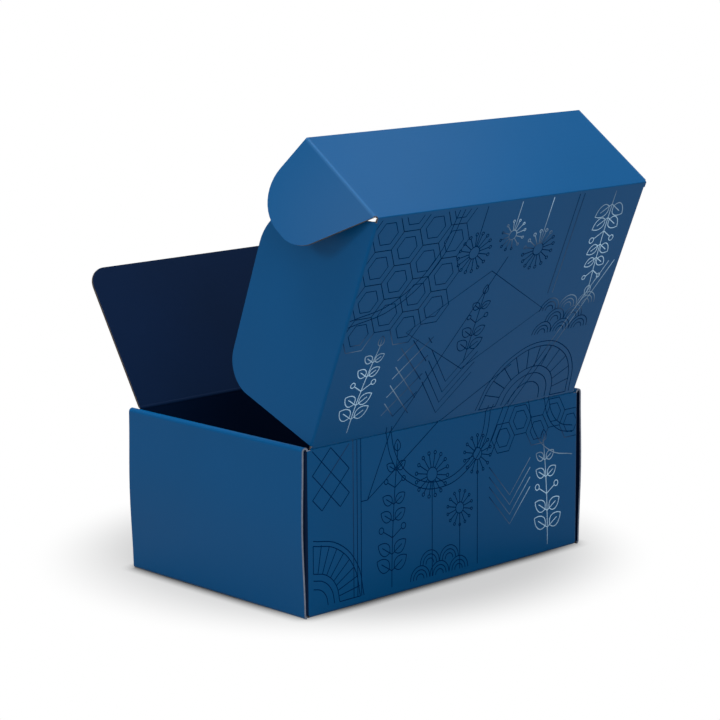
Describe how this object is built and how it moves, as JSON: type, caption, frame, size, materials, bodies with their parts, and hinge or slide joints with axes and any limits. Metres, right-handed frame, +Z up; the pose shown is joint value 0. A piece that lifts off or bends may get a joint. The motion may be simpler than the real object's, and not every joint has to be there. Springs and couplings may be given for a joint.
{
  "type": "roll end tuck top mailer box",
  "caption": "Open mailer box folded from fluted board, with rolled side walls, a creased lid with two wings, a tuck flap with two ears and a front flap.",
  "frame": {"origin": "centre of the base's underside, where the box stands", "axes": "+Z up, -Y towards the front wall, +X to the right seen from the front; the lid turns on the rear wall at +Y"},
  "size_m": [0.2558, 0.2543, 0.2685],
  "materials": {
    "printed_board": "satin"
  },
  "bodies": {
    "tray": {"tray": "printed_board"},
    "lid": {"lid": "printed_board"},
    "wing_right": {"wing_right": "printed_board"},
    "wing_left": {"wing_left": "printed_board"},
    "tuck_flap": {"tuck_flap": "printed_board"},
    "ear_right": {"ear_right": "printed_board"},
    "ear_left": {"ear_left": "printed_board"},
    "front_flap": {"front_flap": "printed_board"}
  },
  "joints": [
    {"name": "lid_crease", "type": "hinge", "parent": "tray", "child": "lid", "pos_m": [0, 0.07465, 0.09665], "axis": [-1, 0, 0], "range_deg": [-79, 67.7]},
    {"name": "wing_right_crease", "type": "hinge", "parent": "lid", "child": "wing_right", "pos_m": [0.10785, 0.07465, 0.09665], "axis": [0, 0.3795, 0.9252], "range_deg": [-89, 0]},
    {"name": "wing_left_crease", "type": "hinge", "parent": "lid", "child": "wing_left", "pos_m": [-0.10785, 0.07465, 0.09665], "axis": [0, -0.3795, -0.9252], "range_deg": [-89, 0]},
    {"name": "tuck_crease", "type": "hinge", "parent": "lid", "child": "tuck_flap", "pos_m": [0, 0.12999, 0.2296], "axis": [-1, 0, 0], "range_deg": [-26, 76.5]},
    {"name": "ear_right_crease", "type": "hinge", "parent": "tuck_flap", "child": "ear_right", "pos_m": [0.1101, 0.12999, 0.2296], "axis": [0, -0.8111, 0.585], "range_deg": [-22, 68]},
    {"name": "ear_left_crease", "type": "hinge", "parent": "tuck_flap", "child": "ear_left", "pos_m": [-0.1101, 0.12999, 0.2296], "axis": [0, 0.8111, -0.585], "range_deg": [-22, 68]},
    {"name": "front_flap_crease", "type": "hinge", "parent": "tray", "child": "front_flap", "pos_m": [0, -0.07465, 0.09665], "axis": [1, 0, 0], "range_deg": [-210, 58.6]}
  ]
}
